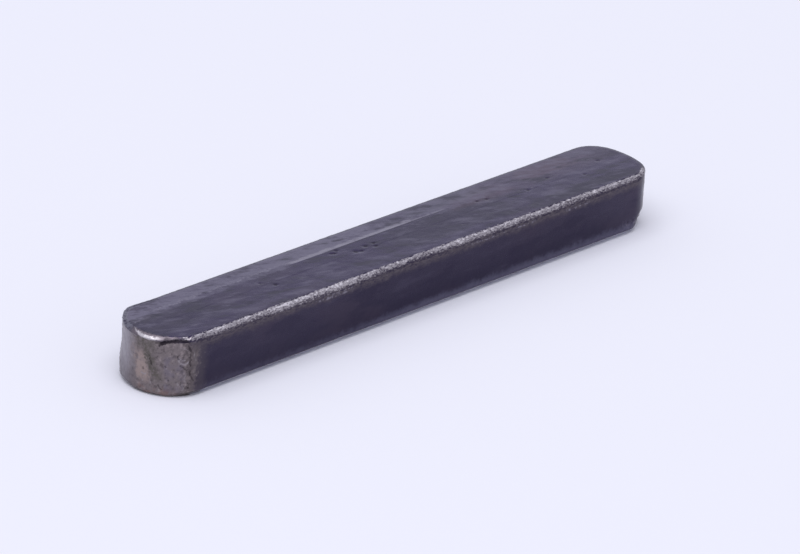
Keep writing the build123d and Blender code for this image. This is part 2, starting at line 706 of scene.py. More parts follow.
@dataclass
class Wear:
    """The wear on the key: worn arrises, pressed-in grain and single marks.

    Sizes and places are in millimetres. Top pits and rubs are each an x, a y and a size.
    The far side is the one that the wear hardly reached: it lies along the far direction.
    """

    body: KeyBody
    grains: tuple[Grain, ...] = (
        Grain("edge_chips", Zone.BROKEN_EDGE, 0.55, 0.20, True),
        Grain("edge_grain", Zone.BROKEN_EDGE, 0.25, 0.10),
        Grain("end_hammering", Zone.LEFT_END, 1.2, 0.16),
        Grain("end_scuffs", Zone.LEFT_END, 0.5, 0.10, True),
        Grain("corner_gouges", Zone.CORNER, 0.8, 0.22, True, 0.55),
        Grain("rolling_waves", Zone.SKIN, 3.0, 0.05),
        Grain("skin_grain", Zone.SKIN, 0.9, 0.02),
    )
    top_pits: tuple[tuple[float, float, float], ...] = (
        (-21.7, -0.80, 0.26),
        (-23.0, 0.70, 0.20),
        (-8.2, 1.85, 0.24),
        (-8.9, 1.35, 0.26),
        (-9.4, 1.55, 0.18),
        (-6.4, 0.10, 0.32),
        (-5.6, -0.20, 0.24),
        (-4.2, 0.55, 0.30),
        (-3.1, -0.20, 0.24),
        (-2.7, 0.60, 0.18),
        (17.6, 1.60, 0.20),
        (19.0, 1.30, 0.22),
        (25.5, 0.00, 0.26),
        (30.4, 1.10, 0.20),
        (35.3, -1.00, 0.22),
        (40.0, 0.90, 0.22),
    )
    top_rubs: tuple[tuple[float, float, float], ...] = (
        (-21.0, 0.0, 0.4),
        (-38.0, -3.1, 0.5),
        (10.7, -2.3, 0.4),
        (24.6, 0.6, 0.5),
        (26.6, 0.3, 0.5),
        (41.0, -0.2, 0.4),
    )
    corner_wear: tuple[Mark, ...] = (
        Mark((42.4, -5.15, 0.05), (-0.42, 0.44, 0.62), 2.9),
    )
    end_dents: tuple[EndMark, ...] = (
        EndMark(-4.7, 2.1, -0.18, 2.6),
        EndMark(-4.7, 5.3, 0.04, 2.3),
    )
    # The marks: how deep or high they are, how far a pit reaches for its size, and how
    # bright a rub is.
    crack_depth: float = 0.10
    ridge_height: float = 0.03
    pit_depth: float = 0.07
    pit_reach: float = 2.2
    rub_depth: float = 0.015
    rub_shine: float = 0.5
    # How near an arris the metal is rounded, how much and how often, and how far towards
    # the far side.
    arris_reach: float = 0.16
    arris_ease: float = 0.5
    arris_rounds: int = 2
    arris_limit: float = 0.3
    # Where the far side lies, and how it takes over from the near one.
    far_direction: tuple[float, float] = (0.736, 0.677)
    far_side: Span = Span(-0.05, 0.35)
    # The chipped edges: their soft borders, what the lower one has of the upper one's
    # chips, less towards the left end, and how much calmer the far side is.
    edge_soft: float = 0.25
    lower_soft: float = 0.2
    lower_share: float = 0.5
    lower_loss: float = 0.4
    lower_fade: Span = Span(-37.0, -40.0)
    far_calm: float = 0.85
    # The smoother crescent on the left end's edge: its x, y and z limits, where it starts
    # across the key, and what it has of the chips.
    crescent_limits: tuple[float, float, float] = (-41.0, 1.2, 7.0)
    crescent_start: float = -3.6
    crescent_share: float = 0.25
    # The hammered walls of the ends, and the gouged corner beside the left one.
    wall_start: float = 0.9
    wall_margin: float = 0.1
    wall_soft: float = 0.3
    left_end: Span = Span(-40.3, -41.3)
    right_end: Span = Span(41.3, 42.5)
    right_share: float = 0.6
    corner: Stretch = Stretch(-42.0, -40.5, 0.7)
    # How much calmer the rolled skin is on the far side.
    skin_calm: float = 0.6
    # The full upper edge of the far side, fullest at the left, and its left corner.
    far_swell: float = 0.30
    full_share: float = 0.67
    full_left: Span = Span(-36.0, -40.0)
    far_corner_along: Stretch = Stretch(-43.6, -41.8, 1.4)
    far_corner_across: Span = Span(1.0, 3.5)
    # The lower edge, worn back all along, but less on the far side of the left tip and not
    # at all on its near side.
    lower_wear: float = 0.27
    foot_soft: float = 0.15
    foot_along: Span = Span(-43.5, -41.0)
    foot_far_share: float = 0.5
    foot_far: Span = Span(0.0, 2.0)
    # The strokes lie left of this place, and no further in from the outline than this.
    stroke_limit: float = -39.0
    stroke_depth: float = 0.45
    # In how many steps a zone's weight rises from 0 to 1.
    weight_steps: int = 10

    def apply(self) -> None:
        """Wear the whole key."""
        self.soften_arrises()
        self.draw_zones()
        self.swell(Zone.FULL_EDGE, self.far_swell)
        self.swell(Zone.LOWER_EDGE, -self.lower_wear)
        self.press_all()
        self.swell(Zone.SCORED, -self.crack_depth)
        self.swell(Zone.RAISED, self.ridge_height)
        marks = self.all_marks()
        self.strike(marks)
        self.trim()
        log.info("wear: %d grains pressed in, %d marks struck", len(self.grains), len(marks))

    def soften_arrises(self) -> None:
        """Round both arrises of each edge break."""
        x, y, z = (vertex_places(self.body.key) / MM).T
        top_break = self.body.top_break.width
        bottom_break = self.body.bottom_break.width
        inset = self.body.inset_of(x, y)
        height = self.body.height
        chosen = np.zeros(len(x), bool)
        for level, step in (
            (height, top_break),
            (height - top_break, 0.0),
            (bottom_break, 0.0),
            (0.0, bottom_break),
        ):
            near_level = np.abs(z - level) < self.arris_reach
            chosen |= near_level & (np.abs(inset - step) < self.arris_reach)
        chosen &= self.facing_away(x, y) < self.arris_limit
        bpy.ops.object.mode_set(mode="EDIT")
        pick_mode(Pick.VERTICES)
        deselect()
        mesh = self.body.mesh()
        for vertex, wanted in zip(mesh.verts, chosen):
            vertex.select = bool(wanted)
        mesh.select_flush(True)
        bpy.ops.mesh.vertices_smooth(factor=self.arris_ease, repeat=self.arris_rounds)
        bpy.ops.object.mode_set(mode="OBJECT")

    def facing_away(self, x: np.ndarray, y: np.ndarray) -> np.ndarray:
        """Return how far each place faces the key's unworn far side.

        Args:
            x: places along the key.
            y: places across it.

        Returns:
            One share from 0 to 1 for each place.
        """
        half_length, half_width = self.body.half_length, self.body.half_width
        left_x = self.body.left.nose_x(half_length, half_width)
        right_x = self.body.right.nose_x(half_length, half_width)
        out_x = x - np.clip(x, -left_x, right_x)
        size = np.maximum(np.hypot(out_x, y), TINY)
        away = (self.far_direction[0] * out_x + self.far_direction[1] * y) / size
        return self.far_side.of(away)

    def swell(self, zone: Zone, reach: float) -> None:
        """Move one zone along its normals.

        Args:
            zone: the part of the surface that moves.
            reach: how far it moves where its weight is full, outwards if positive.
        """
        key = self.body.key
        modifier = key.modifiers.new(zone.value, "DISPLACE")
        modifier.direction = "NORMAL"
        modifier.mid_level = 0.0
        modifier.strength = reach * MM
        modifier.vertex_group = zone.value
        bpy.context.view_layer.objects.active = key
        bpy.ops.object.modifier_apply(modifier=zone.value)

    def trim(self) -> None:
        """Keep the worn key inside the new key's box."""
        key = self.body.key
        co = vertex_places(key)
        limits = np.array((self.body.half_length, self.body.half_width, self.body.height)) * MM
        low = np.array((-limits[0], -limits[1], 0.0))
        key.data.vertices.foreach_set("co", np.clip(co, low, limits).ravel())
        key.data.update()

    def draw_zones(self) -> None:
        """Weight a vertex group for each zone, in even steps."""
        key = self.body.key
        places = (vertex_places(key) / MM).T
        profile = read_note(key, Note.PROFILE)
        away = self.facing_away(places[0], places[1])
        edge = self.edge_zone(places, profile, away)
        end, corner = self.end_zones(places, profile)
        weights = {
            Zone.BROKEN_EDGE: edge,
            Zone.LEFT_END: end,
            Zone.SKIN: np.clip(1.0 - edge - end, 0.0, 1.0) * (1 - self.skin_calm * away),
            Zone.FULL_EDGE: self.full_zone(places, profile, away),
            Zone.LOWER_EDGE: self.lower_zone(places, profile),
            Zone.CORNER: corner,
            Zone.SCORED: self.stroke_weights(CRACKS),
            Zone.RAISED: self.stroke_weights(RIDGES),
        }
        for zone, values in weights.items():
            group = key.vertex_groups.new(name=zone.value)
            for step in range(1, self.weight_steps + 1):
                picked = np.flatnonzero(np.round(values * self.weight_steps) == step)
                group.add(picked.tolist(), step / self.weight_steps, "REPLACE")

    def lower_break(self, soft: float) -> Stretch:
        """Return where the lower break lies on the profile, with its soft ends."""
        start = self.body.wall_end()
        return Stretch(start, start + SLOPE * self.body.bottom_break.width, soft)

    def edge_zone(self, places: np.ndarray, profile: np.ndarray, away: np.ndarray) -> np.ndarray:
        """Return how chipped each place is: the edge breaks, least on the far side.

        Args:
            places: the vertices' x, y and z.
            profile: how far down the profile they lie.
            away: how far they face the far side.

        Returns:
            One weight from 0 to 1 for each vertex.
        """
        x, y, z = places
        top_band = Stretch(0.0, SLOPE * self.body.top_break.width, self.edge_soft).of(profile)
        low_band = self.lower_break(self.lower_soft).of(profile)
        low_band *= self.lower_share - self.lower_loss * self.lower_fade.of(x)
        edge = np.maximum(top_band, low_band) * (1 - self.far_calm * away)
        corner_x, corner_y, corner_z = self.crescent_limits
        crescent = (x < corner_x) & (y > self.crescent_start) & (y < corner_y) & (z > corner_z)
        return np.where(crescent, self.crescent_share * edge, edge)

    def end_zones(self, places: np.ndarray, profile: np.ndarray) -> tuple[np.ndarray, np.ndarray]:
        """Return how hammered each place of the ends is, and how gouged the near left corner.

        Args:
            places: the vertices' x, y and z.
            profile: how far down the profile they lie.

        Returns:
            Two weights from 0 to 1 for each vertex.
        """
        x, y, _ = places
        wall_end = self.body.wall_end() - self.wall_margin
        on_wall = Stretch(self.wall_start, wall_end, self.wall_soft).of(profile)
        left = self.left_end.of(x) * on_wall
        right = self.right_share * (self.right_end.of(x) * on_wall)
        return np.maximum(left, right), self.corner.of(x) * on_wall * (y < 0)

    def full_zone(self, places: np.ndarray, profile: np.ndarray, away: np.ndarray) -> np.ndarray:
        """Return how full the upper break stands at each place: the far side and corner.

        Args:
            places: the vertices' x, y and z.
            profile: how far down the profile they lie.
            away: how far they face the far side.

        Returns:
            One weight from 0 to 1 for each vertex.
        """
        x, y, _ = places
        share = np.clip(profile / (SLOPE * self.body.top_break.width), 0.0, 1.0)
        bulge = 4 * share * (1 - share)
        full = bulge * away
        full *= self.full_share + (1 - self.full_share) * self.full_left.of(x)
        corner = self.far_corner_along.of(x) * self.far_corner_across.of(y)
        return np.maximum(full, bulge * corner)

    def lower_zone(self, places: np.ndarray, profile: np.ndarray) -> np.ndarray:
        """Return how worn back the lower break is at each place.

        Args:
            places: the vertices' x, y and z.
            profile: how far down the profile they lie.

        Returns:
            One weight from 0 to 1 for each vertex.
        """
        x, y, _ = places
        far_left = self.foot_far_share * self.foot_far.of(y)
        along = np.maximum(self.foot_along.of(x), far_left)
        return self.lower_break(self.foot_soft).of(profile) * along

    def press_all(self) -> None:
        """Press every grain and note how deep each place was pressed."""
        key = self.body.key
        before = vertex_places(key)
        normals = np.empty(before.size)
        key.data.vertices.foreach_get("normal", normals)
        for grain in self.grains:
            self.press(grain)
        moved = (vertex_places(key) - before) / MM
        depth = -(moved * normals.reshape(-1, 3)).sum(axis=1)
        write_note(key, Note.DEPTH, depth)

    def press(self, grain: Grain) -> None:
        """Press one grain into its zone.

        Args:
            grain: the pattern to press in.
        """
        key = self.body.key
        texture = bpy.data.textures.new(grain.name, "CLOUDS")
        texture.noise_scale = grain.size * MM
        if grain.hard:
            texture.noise_type = "HARD_NOISE"
        modifier = key.modifiers.new(grain.name, "DISPLACE")
        modifier.texture = texture
        modifier.texture_coords = "LOCAL"
        modifier.direction = "NORMAL"
        modifier.strength = grain.depth * MM
        modifier.mid_level = grain.level
        modifier.vertex_group = grain.zone.value
        bpy.context.view_layer.objects.active = key
        bpy.ops.object.modifier_apply(modifier=grain.name)
        bpy.data.textures.remove(texture)

    def on_left_end(self, around: float) -> tuple[Vector, Vector]:
        """Find a place on the left end's outline.

        Args:
            around: how far round the end it is, from the tip towards -Y.

        Returns:
            The place, at no height, and the direction that points out of the key there.
        """
        end = self.body.left
        half_width = self.body.half_width
        radius = end.nose_radius(half_width)
        nose_x = end.nose_x(self.body.half_length, half_width)
        corner_x = end.corner_x(-1, self.body.half_length, half_width)
        limit = end.nose_turn(-1, half_width)
        side = 1.0 if around >= 0 else -1.0
        turn = abs(around) / radius
        if turn <= limit:
            out = Vector((-math.cos(turn), -side * math.sin(turn), 0))
            return Vector((-nose_x, 0, 0)) + radius * out, out
        corner = end.corner_radius(-1, half_width)
        turn = limit + (abs(around) - limit * radius) / corner
        past = max(turn - math.pi / 2, 0.0) * corner
        turn = min(turn, math.pi / 2)
        out = Vector((-math.cos(turn), -side * math.sin(turn), 0))
        centre = Vector((-corner_x + past, -side * end.low_spread, 0))
        return centre + corner * out, out

    def all_marks(self) -> list[Mark]:
        """List every single mark.

        Returns:
            The marks, in the order that they are struck.
        """
        top = self.body.height
        marks = [
            Mark((x, y, top), (0, 0, -self.pit_depth), self.pit_reach * size, grime=1.0)
            for x, y, size in self.top_pits
        ]
        marks += [
            Mark((x, y, top), (0, 0, -self.rub_depth), size, rub=self.rub_shine)
            for x, y, size in self.top_rubs
        ]
        marks += self.corner_wear
        for dent in self.end_dents:
            place, out = self.on_left_end(dent.around)
            place.z = dent.height
            marks.append(Mark(tuple(place), tuple(-dent.depth * out), dent.reach))
        return marks

    def stroke_weights(self, strokes: tuple[Stroke, ...]) -> np.ndarray:
        """Return how strongly a set of strokes marks each vertex of the left end's wall.

        Args:
            strokes: the lines and pits to lay over each other.

        Returns:
            One weight from 0 to 1 for each vertex.
        """
        x, y, z = (vertex_places(self.body.key) / MM).T
        around = read_note(self.body.key, Note.AROUND)
        on_end = (x < self.stroke_limit) & (self.body.inset_of(x, y) < self.stroke_depth)
        weight = np.zeros(len(x))
        for stroke in strokes:
            weight = np.maximum(weight, stroke.weight(around, z))
        return weight * on_end

    def strike(self, marks: list[Mark]) -> None:
        """Push the metal at each mark and note its dirt and shine.

        Args:
            marks: the marks to strike, in order.
        """
        key = self.body.key
        co = vertex_places(key)
        grime = self.stroke_weights(CRACKS)
        rubbed = self.stroke_weights(RIDGES)
        bpy.context.view_layer.objects.active = key
        bpy.ops.object.mode_set(mode="EDIT")
        pick_mode(Pick.VERTICES)
        mesh = self.body.mesh()
        mesh.verts.ensure_lookup_table()
        for mark in marks:
            away = np.linalg.norm(co - np.array(mark.place) * MM, axis=1)
            deselect()
            mesh.verts[int(away.argmin())].select = True
            mesh.select_flush(True)
            bpy.ops.transform.translate(
                value=Vector(mark.push) * MM,
                use_proportional_edit=True,
                proportional_edit_falloff="SMOOTH",
                proportional_size=mark.reach * MM,
            )
            share = Span(mark.reach * MM, 0.0).of(away)
            grime = np.maximum(grime, mark.grime * share)
            rubbed = np.maximum(rubbed, mark.rub * share)
        bpy.ops.object.mode_set(mode="OBJECT")
        write_note(key, Note.GRIME, grime)
        write_note(key, Note.RUBBED, rubbed)


@dataclass(frozen=True)
class Finish:
    """One state of the steel's surface."""

    colour: tuple[float, float, float]
    roughness: float
    metal: float = 1.0


OXIDE = Finish((0.041, 0.034, 0.060), 0.27)
OXIDE_TOP = Finish((0.038, 0.0265, 0.072), 0.27)
# A deep oxide, also used for painted shade low on the sides, under the long edge and in its nicks.
DEEP_OXIDE_AND_SHADE = Finish((0.028, 0.023, 0.046), 0.30)
OXIDE_BROWN = Finish((0.060, 0.045, 0.066), 0.34)
OXIDE_PALE = Finish((0.145, 0.130, 0.185), 0.30)
OXIDE_WARM = Finish((0.150, 0.118, 0.160), 0.32)
RED_OXIDE = Finish((0.118, 0.070, 0.088), 0.34)
GREEN_OXIDE = Finish((0.118, 0.125, 0.135), 0.32)
RUBBED_LINE = Finish((0.26, 0.242, 0.29), 0.28)
# Bare steel; along the long edge its bright flecks are also painted glints.
BARE_EDGE_AND_GLINT = Finish((0.82, 0.78, 0.80), 0.24)
DULL_EDGE = Finish((0.125, 0.110, 0.130), 0.36)
UNDER_EDGE = Finish((0.092, 0.077, 0.088), 0.40)
FOOT_STRIP = Finish((0.100, 0.094, 0.142), 0.36)
# Painted light: a nearly white, hardly metallic finish that makes the lower break as bright as the
# floor.
FOOT_PAINTED_LIGHT = Finish((0.82, 0.81, 0.90), 0.60, 0.1)
RIM_BLUE = Finish((0.180, 0.176, 0.212), 0.36)
END_STEEL = Finish((0.195, 0.166, 0.168), 0.44)
END_DARK = Finish((0.105, 0.088, 0.092), 0.50)
END_SMOOTH = Finish((0.290, 0.270, 0.295), 0.36)
END_PALE = Finish((0.310, 0.262, 0.262), 0.42)
END_PEACH = Finish((0.345, 0.275, 0.250), 0.44)
MAUVE = Finish((0.145, 0.124, 0.143), 0.40)
MID_EDGE = Finish((0.33, 0.305, 0.325), 0.30)
OLIVE_STAIN = Finish((0.105, 0.096, 0.082), 0.50)
RUST = Finish((0.20, 0.105, 0.085), 0.70, 0.3)
DIRT = Finish((0.014, 0.011, 0.016), 0.60)
SHINE = Finish((0.30, 0.270, 0.285), 0.34)


@dataclass(frozen=True)
class Noise:
    """One noise: its features to the millimetre, and how it is stretched and turned."""

    scale: float
    detail: float
    rough: float
    stretch: tuple[float, float, float] = (1.0, 1.0, 1.0)
    shift: float = 0.0
    twist: float = 0.0
    turn: float = 0.0


class Grit(Enum):
    """The noises that the finishes share, from the coarsest to the finest."""

    DRIFT = Noise(1.0, 2, 0.5, (0.08, 0.22, 0.22), 61)
    BLOTCHES = Noise(0.28, 3, 0.6, twist=0.6)
    PATCHES = Noise(0.9, 3, 0.6, shift=11)
    SMEARS = Noise(1.0, 3, 0.55, (0.14, 0.55, 0.55), 71)
    WISPS = Noise(1.0, 4, 0.60, (0.20, 0.62, 0.62), 53, turn=17.0)
    HAIRS = Noise(1.0, 3, 0.60, (0.70, 2.2, 2.2), 23, turn=27.0)
    DRAWN = Noise(1.0, 3, 0.6, (0.16, 2.2, 2.2), 31)
    FLAKES = Noise(1.0, 3, 0.65, (1.5, 4.2, 4.2), 41)
    GRAINS = Noise(1.0, 2, 0.6, (3.0, 6.0, 6.0), 91)
    FLECKS = Noise(1.7, 3, 0.62, shift=83)
    CRUMBS = Noise(3.0, 3, 0.6, shift=5)
    SPECKS = Noise(9.0, 2, 0.6, shift=7)


@dataclass(frozen=True)
class Tone:
    """A soft patch of one finish on the top, along X and across Y, in millimetres."""

    finish: Finish
    along: Stretch
    across: Stretch
    share: float


@dataclass(frozen=True)
class Cloud:
    """A finish that shows where one noise passes from one value to another."""

    finish: Finish
    grit: Grit
    start: float
    full: float
    share: float


@dataclass(frozen=True)
class Run:
    """A stretch of the long edge where its rubbed band reaches further down, or less far."""

    along: Stretch
    reach: float


@dataclass(frozen=True)
class Score:
    """A pale score along the wall: its stretch along the key and its place on the profile."""

    along: Stretch
    down: float


TOP_TONES = (
    Tone(OXIDE_PALE, Stretch(-34.0, -18.0, 4.0), Stretch(3.4, 6.5, 0.5), 0.32),
    Tone(OXIDE_PALE, Stretch(-30.0, 8.0, 6.0), Stretch(-4.4, -3.2, 0.6), 0.14),
    Tone(OXIDE_PALE, Stretch(19.0, 43.0, 4.0), Stretch(-2.5, 0.8, 0.7), 0.12),
    Tone(OXIDE_PALE, Stretch(11.5, 20.5, 2.0), Stretch(2.1, 3.4, 0.4), 0.40),
    Tone(DEEP_OXIDE_AND_SHADE, Stretch(26.0, 39.5, 3.0), Stretch(-4.6, -3.1, 0.6), 0.80),
    Tone(DEEP_OXIDE_AND_SHADE, Stretch(2.0, 18.0, 4.0), Stretch(-3.4, 1.6, 0.7), 0.55),
    Tone(DEEP_OXIDE_AND_SHADE, Stretch(40.0, 44.0, 1.4), Stretch(1.0, 4.6, 0.8), 0.45),
    Tone(DEEP_OXIDE_AND_SHADE, Stretch(-46.0, -33.0, 4.0), Stretch(-2.6, 2.0, 0.7), 0.35),
    Tone(OXIDE_WARM, Stretch(22.0, 39.0, 6.0), Stretch(1.2, 5.0, 1.2), 0.26),
    Tone(RED_OXIDE, Stretch(15.0, 22.0, 3.0), Stretch(1.6, 4.2, 0.8), 0.22),
    Tone(RED_OXIDE, Stretch(29.0, 37.0, 3.0), Stretch(2.6, 5.0, 0.8), 0.34),
    Tone(GREEN_OXIDE, Stretch(-15.0, -7.0, 2.5), Stretch(3.6, 5.6, 0.5), 0.34),
    Tone(GREEN_OXIDE, Stretch(8.0, 19.0, 4.0), Stretch(3.4, 5.6, 0.5), 0.28),
    Tone(OXIDE_BROWN, Stretch(-45.0, -41.5, 1.2), Stretch(2.2, 6.0, 0.8), 0.50),
    Tone(OXIDE_PALE, Stretch(-41.0, -38.0, 1.2), Stretch(1.5, 4.5, 0.8), 0.16),
)
WALL_CLOUDS = (
    Cloud(DEEP_OXIDE_AND_SHADE, Grit.SMEARS, 0.50, 0.36, 0.58),
    Cloud(OXIDE_PALE, Grit.SMEARS, 0.54, 0.72, 0.10),
)
TOP_CLOUDS = (
    Cloud(DEEP_OXIDE_AND_SHADE, Grit.WISPS, 0.50, 0.34, 0.90),
    Cloud(OXIDE_PALE, Grit.WISPS, 0.50, 0.68, 0.42),
    Cloud(OXIDE_PALE, Grit.HAIRS, 0.58, 0.74, 0.42),
    Cloud(DEEP_OXIDE_AND_SHADE, Grit.HAIRS, 0.41, 0.25, 0.80),
)
FAR_CORNER_CLOUDS = (
    Cloud(DEEP_OXIDE_AND_SHADE, Grit.FLECKS, 0.54, 0.46, 0.90),
    Cloud(RUBBED_LINE, Grit.FLECKS, 0.57, 0.68, 0.50),
)
# Painted reflection: pale flecks that brighten the lower right corner like the floor, among dark
# flecks.
FOOT_CORNER_SHEEN_FLECKS = (
    Cloud(OXIDE_PALE, Grit.FLECKS, 0.46, 0.60, 0.60),
    Cloud(MID_EDGE, Grit.CRUMBS, 0.58, 0.66, 0.50),
    Cloud(DIRT, Grit.FLECKS, 0.42, 0.34, 0.60),
)
LEFT_END_CLOUDS = (
    Cloud(END_PALE, Grit.FLECKS, 0.54, 0.70, 0.65),
    Cloud(END_DARK, Grit.FLECKS, 0.47, 0.33, 0.75),
)
RIGHT_END_CLOUDS = (
    Cloud(END_STEEL, Grit.PATCHES, 0.36, 0.70, 0.60),
    Cloud(END_DARK, Grit.FLECKS, 0.47, 0.30, 0.28),
)
UNDER_SCORES = (
    Score(Stretch(-19.5, -14.5, 1.0), 1.42),
    Score(Stretch(-16.5, -13.5, 1.0), 1.10),
    Score(Stretch(9.0, 20.0, 1.0), 1.20),
    Score(Stretch(27.0, 31.0, 1.0), 1.30),
)
EDGE_RUNS = (
    Run(Stretch(-46.0, -39.0, 3.0), -0.12),
    Run(Stretch(-38.0, -33.0, 3.0), 0.06),
    Run(Stretch(-25.0, -12.0, 4.5), 0.15),
    Run(Stretch(-6.0, 1.5, 2.0), -0.12),
    Run(Stretch(4.0, 8.0, 2.0), 0.06),
    Run(Stretch(31.0, 46.0, 5.0), -0.08),
)

Socket = bpy.types.NodeSocket
Value = float | tuple[float, ...] | bpy.types.NodeSocket | Grit


class Sum(Enum):
    """What a Math node works out."""

    TOTAL = "ADD"
    DIFFERENCE = "SUBTRACT"
    PRODUCT = "MULTIPLY"
    SCALED = "MULTIPLY_ADD"
    LARGER = "MAXIMUM"
    SMALLER = "MINIMUM"
    SIZE = "ABSOLUTE"


class NodeSketch:
    """Lays out a material's nodes with short calls. Lengths are in millimetres.

    Wherever a value is taken, it may be a number, a colour, a socket or a shared noise.
    """

    def __init__(self, tree: bpy.types.NodeTree) -> None:
        """Start on an empty tree and read the surface's place and notes.

        Args:
            tree: the material's nodes.
        """
        self.tree = tree
        self.tree.nodes.clear()
        coordinate = self.add("ShaderNodeTexCoord")
        scale = self.add("ShaderNodeVectorMath")
        scale.operation = "SCALE"
        self.join(coordinate.outputs["Object"], scale.inputs[0])
        scale.inputs["Scale"].default_value = 1 / MM
        self.place = scale.outputs[0]
        split = self.add("ShaderNodeSeparateXYZ")
        self.join(self.place, split.inputs[0])
        self.x, self.y, self.z = split.outputs
        self.profile = self.read(Note.PROFILE)
        self.grime = self.read(Note.GRIME)
        self.rubbed = self.read(Note.RUBBED)
        self.depth = self.read(Note.DEPTH)
        self.around = self.read(Note.AROUND)
        self.noises = {grit: self.draw(grit.value) for grit in Grit}

    def add(self, kind: str) -> bpy.types.Node:
        """Add a node of one kind."""
        return self.tree.nodes.new(kind)

    def join(self, value: Value, socket: Socket) -> None:
        """Link a socket or a shared noise, or set a plain number or colour.

        Args:
            value: what the socket takes.
            socket: the input that takes it.
        """
        if isinstance(value, (int, float, tuple)):
            socket.default_value = value
        else:
            source = self.noises[value] if isinstance(value, Grit) else value
            self.tree.links.new(source, socket)

    def read(self, note: Note) -> Socket:
        """Read a number that the modelling wrote on each vertex.

        Args:
            note: what the number says.

        Returns:
            Its value at each place.
        """
        node = self.add("ShaderNodeAttribute")
        node.attribute_name = note.value
        return node.outputs["Fac"]

    def draw(self, noise: Noise) -> Socket:
        """Draw one noise.

        Args:
            noise: how fine it is, and how it is stretched and turned.

        Returns:
            Its value at each place, from about 0 to 1.
        """
        place = self.place
        if noise.turn:
            turned = self.add("ShaderNodeMapping")
            self.join(place, turned.inputs["Vector"])
            turned.inputs["Rotation"].default_value = (0, 0, math.radians(noise.turn))
            place = turned.outputs[0]
        mapping = self.add("ShaderNodeMapping")
        self.join(place, mapping.inputs["Vector"])
        mapping.inputs["Scale"].default_value = noise.stretch
        mapping.inputs["Location"].default_value = [step * noise.shift for step in (1, 2, 3)]
        node = self.add("ShaderNodeTexNoise")
        self.join(mapping.outputs[0], node.inputs["Vector"])
        node.inputs["Scale"].default_value = noise.scale
        node.inputs["Detail"].default_value = noise.detail
        node.inputs["Roughness"].default_value = noise.rough
        node.inputs["Distortion"].default_value = noise.twist
        return node.outputs["Fac"]

    def math(self, kind: Sum, *values: Value) -> Socket:
        """Work out one sum.

        Args:
            kind: what to work out.
            values: what goes into it, in order.

        Returns:
            The result.
        """
        node = self.add("ShaderNodeMath")
        node.operation = kind.value
        for value, socket in zip(values, node.inputs):
            self.join(value, socket)
        return node.outputs[0]

    def add_up(self, first: Value, second: Value) -> Socket:
        """Return the sum."""
        return self.math(Sum.TOTAL, first, second)

    def less(self, first: Value, second: Value) -> Socket:
        """Return the first value less the second."""
        return self.math(Sum.DIFFERENCE, first, second)

    def times(self, *values: Value) -> Value:
        """Multiply any number of values.

        Args:
            values: the factors.

        Returns:
            The product.
        """
        result = values[0]
        for value in values[1:]:
            result = self.math(Sum.PRODUCT, result, value)
        return result

    def scaled(self, value: Value, factor: float, start: Value) -> Socket:
        """Return the start plus the value times a factor."""
        return self.math(Sum.SCALED, value, factor, start)

    def larger(self, first: Value, second: Value) -> Socket:
        """Return the larger of two values."""
        return self.math(Sum.LARGER, first, second)

    def smaller(self, first: Value, second: Value) -> Socket:
        """Return the smaller of two values."""
        return self.math(Sum.SMALLER, first, second)

    def size(self, value: Value) -> Socket:
        """Return the value without its sign."""
        return self.math(Sum.SIZE, value)

    def step(self, value: Value, start: float, full: float) -> Socket:
        """Change smoothly from 0 to 1.

        Args:
            value: what the change goes by.
            start: where it is 0.
            full: where it is 1, above the start or below it.

        Returns:
            The share, from 0 to 1.
        """
        node = self.add("ShaderNodeMapRange")
        node.interpolation_type = "SMOOTHSTEP"
        rising = start <= full
        self.join(value, node.inputs["Value"])
        node.inputs["From Min"].default_value = min(start, full)
        node.inputs["From Max"].default_value = max(start, full)
        node.inputs["To Min"].default_value = 0.0 if rising else 1.0
        node.inputs["To Max"].default_value = 1.0 if rising else 0.0
        return node.outputs["Result"]

    def span(self, value: Value, span: Span) -> Socket:
        """Return 0 at the span's start and 1 where it is full."""
        return self.step(value, span.start, span.full)

    def within(self, value: Value, stretch: Stretch) -> Socket:
        """Show one stretch.

        Args:
            value: places along the line that the stretch lies on.
            stretch: the stretch, with its soft ends.

        Returns:
            1 within the stretch, falling off to 0 on both sides.
        """
        rise = self.step(value, stretch.low - stretch.soft, stretch.low)
        fall = self.step(value, stretch.high + stretch.soft, stretch.high)
        return self.times(rise, fall)

    def swing(self, noise: Value, reach: float) -> Socket:
        """Return the noise centred on zero, swinging by about reach each way."""
        centred = self.less(noise, 0.5)
        return self.times(centred, 4.0 * reach)

    def ragged(self, *swings: tuple[Grit, float]) -> Socket:
        """Add up the swings of several noises.

        Args:
            swings: each noise and about how far it swings each way.

        Returns:
            The sum, centred on zero.
        """
        result = self.swing(*swings[0])
        for swing in swings[1:]:
            result = self.add_up(result, self.swing(*swing))
        return result

    def blur(self, value: Value, *swings: tuple[Grit, float]) -> Socket:
        """Return the value with the swings of several noises added."""
        return self.add_up(value, self.ragged(*swings))

    def mix(self, first: Value, second: Value, share: Value) -> Socket:
        """Mix two numbers.

        Args:
            first: the number where the share is 0.
            second: the number where it is 1.
            share: how much of the second shows.

        Returns:
            The mixed number.
        """
        node = self.add("ShaderNodeMix")
        node.data_type = "FLOAT"
        self.join(share, node.inputs[0])
        self.join(first, node.inputs[2])
        self.join(second, node.inputs[3])
        return node.outputs[0]


